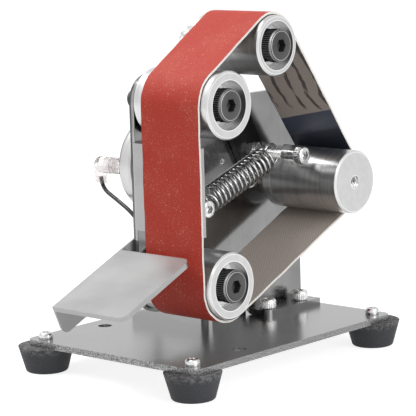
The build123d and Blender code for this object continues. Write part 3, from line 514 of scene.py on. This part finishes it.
def belt_line():
    """Stations round the belt, each a point on the wheels' rims and its outward normal; the length so far
    at each; and the length at which the belt meets each wheel."""
    centres = [Vector(yz(name)) for name in WHEELS]
    radii = [radius_of(name) for name in WHEELS]
    turns = []
    for i in range(4):
        a, b = centres[i], centres[(i + 1) % 4]
        along = (b - a).normalized()
        tilt = (radii[i] - radii[(i + 1) % 4]) / (b - a).length
        left = Vector((-along.y, along.x))
        turns.append(left * math.sqrt(1 - tilt ** 2) + along * tilt)
    stations, starts = [], []
    for i in range(4):
        starts.append(len(stations))
        before, after = turns[i - 1], turns[i]
        first = math.atan2(before.y, before.x)
        sweep = (first - math.atan2(after.y, after.x)) % (2 * math.pi)
        steps = max(6, round(math.degrees(sweep) / 3.5))
        for k in range(steps + 1):
            angle = first - sweep * k / steps
            normal = Vector((math.cos(angle), math.sin(angle)))
            stations.append((centres[i] + normal * radii[i], normal))
        start = stations[-1][0]
        end = centres[(i + 1) % 4] + after * radii[(i + 1) % 4]
        cells = round((end - start).length / (2.5 * MM))
        stations += [(start.lerp(end, k / cells), after) for k in range(1, cells)]
    lengths = [0.0]
    for (a, _), (b, _) in zip(stations, stations[1:]):
        lengths.append(lengths[-1] + (b - a).length)
    return stations, lengths, [lengths[start] for start in starts]


def abrasive_belt(face, backing, edge):
    """One closed band round the wheels, with slightly frayed cut edges."""
    gap, thick = 0.3 * MM, 0.9 * MM
    low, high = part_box("abrasive_belt")
    stations, lengths, _ = belt_line()
    chance = np.random.default_rng(7)
    columns = 13
    points, uvs = [], []
    fray = chance.random((len(stations), 2))
    fray = (fray + np.roll(fray, 1, 0) + np.roll(fray, 2, 0)) / 3
    for (base, normal), along, (left, right) in zip(stations, lengths, fray):
        start = low.x + left * 0.5 * MM
        end = high.x - right * 0.5 * MM
        xs = [start + (end - start) * j / (columns - 1) for j in range(columns)]
        section = [(x, gap + thick) for x in xs]
        section += [(end, gap + 0.78 * thick), (end, gap + 0.22 * thick)]
        section += [(x, gap) for x in reversed(xs)]
        section += [(start, gap + 0.22 * thick), (start, gap + 0.78 * thick)]
        for x, offset in section:
            place = base + normal * offset
            points.append((x, place.x, place.y))
            uvs.append((x - middle("abrasive_belt").x, along))
    ring = 2 * columns + 4
    count = len(stations)
    faces, kinds, face_uvs = [], [], []
    total = lengths[-1] + (stations[0][0] - stations[-1][0]).length
    for i in range(count):
        for j in range(ring):
            corners = [(i, j), (i, (j + 1) % ring), ((i + 1) % count, (j + 1) % ring), ((i + 1) % count, j)]
            faces.append([a * ring + b for a, b in corners])
            kinds.append(0 if j < columns - 1 else 1 if columns + 1 < j < 2 * columns + 1 else 2)
            for a, b in corners:
                u, v = uvs[a * ring + b]
                face_uvs += [u, v + (total if i == count - 1 and a == 0 else 0)]
    belt = new_piece("belt", points, faces, [face, backing, edge], None, kinds, 50)
    belt.data.uv_layers.new(name="belt").data.foreach_set("uv", face_uvs)
    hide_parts("abrasive_belt")
    # a direction square to the line from the upper idler to the drive wheel, turned towards the tension idler
    upper, tension, drive = (Vector(yz(name)) for name in WHEELS[1:])
    away = Vector((upper.y - drive.y, drive.x - upper.x)).normalized()
    away = away if away.dot(tension - upper) > 0 else -away
    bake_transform(belt)
    return belt


def tube(path, radius, sides=12):
    """Points and faces of a round tube along a path, with closed ends."""
    path = [Vector(p) for p in path]
    side = (path[1] - path[0]).orthogonal().normalized()
    points, faces = [], []
    for i, at in enumerate(path):
        ahead = (path[min(i + 1, len(path) - 1)] - path[max(i - 1, 0)]).normalized()
        side = (side - ahead * side.dot(ahead)).normalized()
        other = ahead.cross(side)
        for k in range(sides):
            angle = 2 * math.pi * k / sides
            points.append(at + (side * math.cos(angle) + other * math.sin(angle)) * radius)
    for i in range(len(path) - 1):
        for k in range(sides):
            a, b = i * sides + k, i * sides + (k + 1) % sides
            faces.append([a, b, b + sides, a + sides])
    faces.append(list(range(sides))[::-1])
    faces.append([len(points) - sides + k for k in range(sides)])
    return points, faces


def tension_spring(steel):
    """The extension spring: close turns, and a round hook over each post."""
    wire, mean_r, turns, hook_r, post_r = 0.6 * MM, 4.9 * MM, 14, 4.2 * MM, 2.0 * MM
    centre_x, per_turn = middle("tension_spring").x, 40
    low_post, high_post = (Vector((centre_x, *yz(f"{end}_spring_post"))) for end in ("lower", "upper"))
    span = high_post - low_post
    to_coil = 2 * hook_r - post_r - 0.03 * MM
    coil_length = span.length - 2 * to_coil
    centre = hook_r + wire
    enter = math.radians(-25)
    hook = []
    start, bend = Vector((mean_r, 0, 0)), Vector((mean_r * 0.62, mean_r * 0.72, wire))
    stop = Vector((0, hook_r * math.cos(enter), centre + hook_r * math.sin(enter)))
    for k in range(1, 9):
        t = k / 9
        hook.append(start.lerp(bend, t).lerp(bend.lerp(stop, t), t)
                    + (bend - start.lerp(stop, 0.5)) * (2 * t * (1 - t)) * 0.5)
    for k in range(37):
        angle = enter + math.radians(285) * k / 36
        hook.append(Vector((0, hook_r * math.cos(angle), centre + hook_r * math.sin(angle))))
    steps = turns * per_turn
    coil = []
    for k in range(steps + 1):
        angle = 2 * math.pi * k / per_turn
        coil.append(Vector((mean_r * math.cos(angle), mean_r * math.sin(angle), coil_length * k / steps)))
    path = [Vector((p.x, -p.y, -p.z)) for p in reversed(hook)]
    path += coil + [p + Vector((0, 0, coil_length)) for p in hook]
    along = span.normalized()
    across = Vector((1, 0, 0))
    turn = Matrix((across, along.cross(across), along)).transposed()
    points, faces = tube([low_post + along * to_coil + turn @ p for p in path], wire, 12)
    spring = new_piece("spring", points, faces, [steel], None)
    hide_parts("tension_spring")
    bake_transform(spring)
    return spring


def round_ring(radius):
    return lambda angle: radius


def hexagon_ring(across_flats):
    """A hexagon's radius at an angle."""
    sector = math.pi / 3
    return lambda angle: across_flats / 2 / math.cos((angle + sector / 2) % sector - sector / 2)


def knurled_ring(radius, teeth, depth):
    return lambda angle: radius - depth * (0.5 - 0.5 * math.cos(teeth * angle))


def lathe(rings, segments):
    """Points and faces of rings (height, radius or a ring function) about Z, closed at both ends."""
    points, faces = [], []
    for height, shape in rings:
        shape = shape if callable(shape) else round_ring(shape)
        for k in range(segments):
            angle = 2 * math.pi * k / segments
            points.append(Vector((shape(angle) * math.cos(angle), shape(angle) * math.sin(angle), height)))
    for i in range(len(rings) - 1):
        for k in range(segments):
            a, b = i * segments + k, i * segments + (k + 1) % segments
            faces.append([a, b, b + segments, a + segments])
    faces.append(list(range(segments))[::-1])
    faces.append([len(points) - segments + k for k in range(segments)])
    return points, faces


def thread(start, end, core, crest, pitch, sides=32):
    """Points and faces of a thread's ridge about Z; a crest below core makes an inside thread."""
    steps = int((end - start) / pitch * sides)
    points, faces = [], []
    for k in range(steps + 1):
        angle = 2 * math.pi * k / sides
        height = start + pitch * k / sides
        fade = min(1.0, k / sides * 2, (steps - k) / sides * 2)
        top = core + (crest - core) * fade
        for radius, up in ((core, -0.42), (top, -0.06), (top, 0.06), (core, 0.42)):
            points.append(Vector((radius * math.cos(angle), radius * math.sin(angle), height + up * pitch)))
    for k in range(steps):
        for j in range(4):
            a, b = k * 4 + j, k * 4 + (j + 1) % 4
            faces.append([a, a + 4, b + 4, b])
    faces.append([3, 2, 1, 0])
    faces.append([steps * 4 + j for j in range(4)])
    return points, faces


def joined(*shells):
    points, faces = [], []
    for shell_points, shell_faces in shells:
        faces += [[index + len(points) for index in face] for face in shell_faces]
        points += shell_points
    return points, faces


def facing(place, axis):
    """Puts local Z along an axis, at a place."""
    return Matrix.Translation(place) @ Vector(axis).to_track_quat("Z", "X").to_matrix().to_4x4()


def socket_screw(name, node, steel, body, sizes, thread_length, tail=0.0):
    """A socket screw along X in place of a node, with its tip tail beyond the node's own."""
    low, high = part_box(node)
    points, faces = socket_head(high.x - low.x, *sizes, thread_length, tail)
    place = facing(Vector((low.x, *yz(node))), (1, 0, 0))
    piece = new_piece(name, [place @ p for p in points], faces, [steel], body, sharp=40)
    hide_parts(node)


def socket_head(length, shank, head, head_height, key, pitch, teeth, thread_length, tail=0.0):
    """Points and faces of a socket screw about Z: knurled head, hexagon recess and a real thread at its
    tip, which is at -tail; the head's top is at length."""
    seat = length - head_height
    step = head_height / 10
    knurl = knurled_ring(head, teeth, head * 0.035)
    rings = [
        (-tail, shank * 0.7), (shank * 0.3 - tail, shank * 0.88), (thread_length, shank * 0.88),
        (thread_length, shank), (seat, shank),
        (seat, head * 0.93), (seat + step, head * 0.985), (seat + step, knurl), (length - 2 * step, knurl),
        (length - 1.8 * step, head * 0.97), (length - 0.6 * step, head * 0.95), (length, head * 0.86),
        (length, hexagon_ring(key * 1.04)), (length - step * 0.5, hexagon_ring(key)),
        (length - head_height * 0.55, hexagon_ring(key)), (length - head_height * 0.62, key * 0.2),
    ]
    ridge = thread(pitch * 0.6 - tail, thread_length - pitch * 0.3, shank * 0.86, shank, pitch)
    return joined(lathe(rings, teeth * 4), ridge)


def cross_ring(head, arm):
    """A cross recess's radius at an angle: four slots, each two arm widths wide, with filled corners."""
    reach, slot_turn = head * 0.55, 0.3

    def radius(angle):
        turn = abs((angle + math.pi / 4) % (math.pi / 2) - math.pi / 4)
        return min(arm / max(math.sin(turn), 0.2), reach) if turn > slot_turn else reach

    return radius


def pan_head(length, shank, head, head_height):
    """Points and faces of a pan head screw about Z, its tip at 0 and the head's top at length."""
    seat = length - head_height
    rings = [(0, shank * 0.8), (shank * 0.3, shank), (seat, shank)]
    rings += [(seat, head * 0.96), (seat + head_height * 0.1, head)]
    for k in range(1, 6):
        lean = math.pi / 2 * k / 6
        rings.append((seat + head_height * (0.35 + 0.65 * math.sin(lean)), head * (0.62 + 0.38 * math.cos(lean))))
    cross = cross_ring(head, head * 0.15)
    rings += [(length, head * 0.6), (length, cross), (length - head_height * 0.5, lambda angle: cross(angle) * 0.5)]
    return lathe(rings, 48)


def screws(name, node, places, axis, shell, steel):
    """Several equal screws of the frame in one piece; shell stands on each place along axis."""
    shells = []
    for place in places:
        turn = facing(place, axis)
        shells.append(([turn @ p for p in shell[0]], shell[1]))
    points, faces = joined(*shells)
    piece = new_piece(name, points, faces, [steel], "frame", sharp=40)
    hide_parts(node)


def islands(node):
    """The box of each separate solid in a CAD node."""
    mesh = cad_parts[node].data
    parent = {}

    def root(key):
        while parent.setdefault(key, key) != key:
            key = parent[key]
        return key

    keys = [tuple(round(c, 7) for c in vertex.co) for vertex in mesh.vertices]
    for polygon in mesh.polygons:
        first = root(keys[polygon.vertices[0]])
        for index in polygon.vertices[1:]:
            parent[root(keys[index])] = first
    groups = {}
    for key in keys:
        groups.setdefault(root(key), []).append(key)
    boxes = [(Vector(map(min, zip(*group))), Vector(map(max, zip(*group)))) for group in groups.values()]
    return sorted(boxes, key=lambda box: tuple(box[0]))


def make_screws(zinc):
    """The bolts of the upright's foot, the screws of the rubber feet, and those of the platen and motor."""
    upward, across = (0, 0, 1), (1, 0, 0)
    kinds = {
        "upright_bolts": (upward, lambda length: socket_head(length, *M4_SOCKET, length - 5 * MM)),
        "foot_screws": (upward, lambda length: pan_head(length, *M3_PAN)),
        "platen_screws": (across, lambda length: pan_head(length, *M4_PAN)),
        "motor_screws": (across, lambda length: pan_head(length, *M4_PAN)),
    }
    for node, (axis, shell) in kinds.items():
        boxes = islands(node)
        length = (boxes[0][1] - boxes[0][0]).dot(Vector(axis))
        tips = [(low + high) / 2 - Vector(axis) * length / 2 for low, high in boxes]
        screws(node + "_turned", node, tips, axis, shell(length), zinc)


# ---------------------------------------------------------------- leads
def lead(name, route, made):
    """A thin insulated lead: a smooth curve guided by the route's control points."""
    curve = bpy.data.curves.new(name, "CURVE")
    curve.dimensions = "3D"
    curve.bevel_depth = LEAD_DIAMETER / 2
    curve.bevel_resolution = 5
    curve.resolution_u = 16
    spline = curve.splines.new("NURBS")
    spline.points.add(len(route) - 1)
    for point, place in zip(spline.points, route):
        point.co = (*place, 1.0)
    spline.order_u = 3
    spline.use_endpoint_u = True
    curve.materials.append(made.material)
    piece = bpy.data.objects.new(name, curve)
    bpy.context.scene.collection.objects.link(piece)
    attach(piece, "frame")
    return piece


def make_leads(black):
    """Both leads, from the terminal boots down to the in-line socket under the motor."""
    near_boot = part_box("near_terminal_boot")
    socket_low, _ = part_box("power_socket")
    leg_x = near_boot[0].x + 2.6 * MM
    top = near_boot[0].z + 3.0 * MM
    near_y, far_y = middle("near_terminal_boot").y, middle("far_terminal_boot").y
    socket_y, socket_z = yz("power_socket")
    near_route = [
        (0, 0, 0), (0, 0, -5.2), (10, -0.7, -9.8), (20, -1.2, -15), (28, -0.8, -24), (33, 0.2, -36),
    ]
    far_route = [
        (0, 0, 0), (0, 0, -7), (4.5, -5, -16), (11, -12, -24), (18, -20, -32), (26, -27, -39),
    ]
    sizes = {"near": (near_route, near_y, -1.6, 0.0708), "far": (far_route, far_y, 1.6, 0.0791)}
    for side, (steps, y, aside, length) in sizes.items():
        route = [(leg_x + dx * MM, y + dy * MM, top + dz * MM) for dx, dy, dz in steps]
        route += [(socket_low.x + reach * MM, socket_y + aside * MM, socket_z) for reach in (-7, 0)]
        piece = lead(f"{side}_lead_wire", route, black)
        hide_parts(f"{side}_lead")


# ---------------------------------------------------------------- stage, light, camera
def stage_material():
    """A white floor that keeps the shadow, and shows white where it is seen or reflected."""
    made = Material("floor_white", "sheet_steel", Roughness=0.9)
    made.give("Base Color", (0.45, 0.45, 0.45, 1.0))
    seen = seen_directly(made)
    made.give("Emission Color", (1.0, 1.0, 1.0, 1.0))
    made.give("Emission Strength", made.math("MULTIPLY", seen, FLOOR_GLOW))
    return made


def seen_directly(net):
    """1 for rays that see, reflect or look through to a surface, and 0 for the light it gives."""
    path = net.add("ShaderNodeLightPath").outputs
    seen = net.math("MAXIMUM", path["Is Camera Ray"], path["Is Glossy Ray"])
    return net.math("MAXIMUM", seen, path["Is Transmission Ray"])


def make_stage():
    corners = [(-1, -1), (1, -1), (1, 1), (-1, 1)]
    mesh = bpy.data.meshes.new("floor")
    mesh.from_pydata([(x * FLOOR_REACH, y * FLOOR_REACH, -FLOOR_DROP) for x, y in corners], [], [[0, 1, 2, 3]])
    mesh.materials.append(stage_material().material)
    floor = bpy.data.objects.new("floor", mesh)
    bpy.context.scene.collection.objects.link(floor)


def make_world():
    world = bpy.data.worlds.new("studio")
    bpy.context.scene.world = world
    world.use_nodes = True
    net = Net(world.node_tree)
    background = world.node_tree.nodes["Background"].inputs
    net.set(background["Color"], (1.0, 1.0, 1.0, 1.0))
    net.set(background["Strength"], net.math("MULTIPLY_ADD", seen_directly(net), BACKDROP, AMBIENT))


def make_lamp(name, place, size, power):
    data = bpy.data.lights.new(name, "AREA")
    data.shape = "RECTANGLE"
    data.size, data.size_y = size
    data.energy = power
    lamp = bpy.data.objects.new(name, data)
    lamp.matrix_world = facing(place, Vector(place) - Vector(LAMPS_AIM))
    bpy.context.scene.collection.objects.link(lamp)


def make_camera():
    aim = Vector((middle("abrasive_belt").x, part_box("abrasive_belt")[0].y, PLATE_TOP))
    yaw, pitch, roll = (math.radians(a) for a in (CAMERA_YAW, CAMERA_PITCH, CAMERA_ROLL))
    ahead = Vector((-math.sin(yaw) * math.cos(pitch), math.cos(yaw) * math.cos(pitch), -math.sin(pitch)))
    level = Vector((math.cos(yaw), math.sin(yaw), 0))
    upward = level.cross(ahead)
    right = level * math.cos(roll) + upward * math.sin(roll)
    up = upward * math.cos(roll) - level * math.sin(roll)
    data = bpy.data.cameras.new("camera")
    data.sensor_width = CAMERA_SENSOR
    data.lens = CAMERA_LENS
    data.clip_start = 0.01
    camera = bpy.data.objects.new("camera", data)
    place = aim + CAMERA_STEP
    camera.matrix_world = Matrix.Translation(place) @ Matrix((right, up, -ahead)).transposed().to_4x4()
    bpy.context.scene.collection.objects.link(camera)
    bpy.context.scene.camera = camera


# ---------------------------------------------------------------- put together
def paint(made, *names):
    """Gives CAD nodes a material."""
    for name in names:
        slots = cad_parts[name].data.materials
        slots.clear()
        slots.append(made.material)


def dress_nodes():
    paint(sheet_steel("base_steel", (148, 160), (0.19, 0.25), (500.0, 20.0, 500.0), 2, (88, 170), 0.4), "base_plate")
    paint(upright_sheet(), "upright")
    paint(sheet_steel("platen_steel", (150, 168), (0.22, 0.3), (200.0, 200.0, 30.0)), "platen")
    paint(sheet_steel("arm_steel", (52, 68), (0.24, 0.32), (300.0, 300.0, 40.0), 0, (70, 110), 0.34), "tension_arm")
    paint(sheet_steel("rest_steel", (155, 166), (0.36, 0.44), (24.0, 600.0, 600.0)), "work_rest")
    for name in WHEELS:
        paint(wheel_aluminium(name, DRIVE_HOLE_R if name == "drive_wheel" else BEARING_POCKET_R), name)
    for name in BEARING_NAMES:
        paint(turned_metal(name + "_bearing", "bearing_steel", name + "_idler", 150, 205, (0.06, 0.14), 0.012),
              name + "_bearing_outer_rings", name + "_bearing_inner_rings")
        paint(turned_metal(name + "_sleeve", "sleeve_steel", name + "_idler", 160, 200, (0.18, 0.3)),
              name + "_axle_sleeves")
    paint(turned_metal("shaft_steel", "sleeve_steel", "motor_shaft", 170, 205, (0.15, 0.25)), "motor_shaft",
          "pivot_spacer")
    paint(motor_case(), "motor_can", "motor_end_cap")
    paint(clear_vinyl(), "near_terminal_boot", "far_terminal_boot")
    paint(black_plastic("socket_plastic", "socket_black", 26, 36, (0.4, 0.55)), "power_socket")
    paint(rubber(), "front_left_foot", "front_right_foot", "rear_left_foot", "rear_right_foot")
    zinc = plated_steel("zinc", "zinc_steel", 196, 228)
    paint(zinc, "foot_nuts", "upright_bolt_nuts", "platen_nuts", "motor_terminals", "pivot_bolt", "pivot_nut",
          "lower_spring_post_nuts", "upper_spring_post_nut", "rest_clamp_screw", "tension_axle_nut",
          "lower_clinch_nut", "upper_clinch_nut", "power_socket_pin")
    return zinc


def drive_hole_thread():
    """The inside thread of the hole in the drive wheel's free end."""
    points, faces = thread(0.3 * MM, 9 * MM, DRIVE_HOLE_R, 2.05 * MM, 0.8 * MM)
    into = facing(Vector((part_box("drive_wheel")[1].x, *yz("drive_wheel"))), (-1, 0, 0))
    made = turned_metal("thread_aluminium", "wheel_aluminium", "drive_wheel", 200, 220, (0.2, 0.3))
    new_piece("drive_wheel_thread", [into @ p for p in points], faces, [made], "drive")


def dress():
    make_groups()
    zinc = dress_nodes()
    paint(black_oxide("grub_black", "drive_wheel"), "drive_wheel_grub")
    meets_drive = belt_line()[2][3]
    abrasive_belt(abrasive_face(), belt_backing(meets_drive), belt_edge())
    tension_spring(plated_steel("spring_wire", "spring_steel", 150, 190, (0.12, 0.22)))
    for name, body, tail in (("lower", "frame", 2.1 * MM), ("upper", "frame", 2.1 * MM), ("tension", "arm", 0)):
        black = black_oxide(name + "_bolt_black", name + "_idler")
        socket_screw(name + "_bolt", name + "_axle_bolt", black, body, M8_SOCKET, 9 * MM, tail)
    for name, body in (("upper_spring_post", "arm"), ("lower_spring_post", "frame")):
        socket_screw(name + "_screw", name, zinc, body, M4_SOCKET, 20 * MM)
    drive_hole_thread()
    make_screws(zinc)
    make_leads(black_plastic("lead_vinyl", "lead_black", 18, 26, (0.2, 0.3), 300.0))
    make_stage()
    make_world()
    for lamp in LAMPS:
        make_lamp(*lamp)
    make_camera()


dress()
bpy.context.scene.view_settings.view_transform = "Standard"
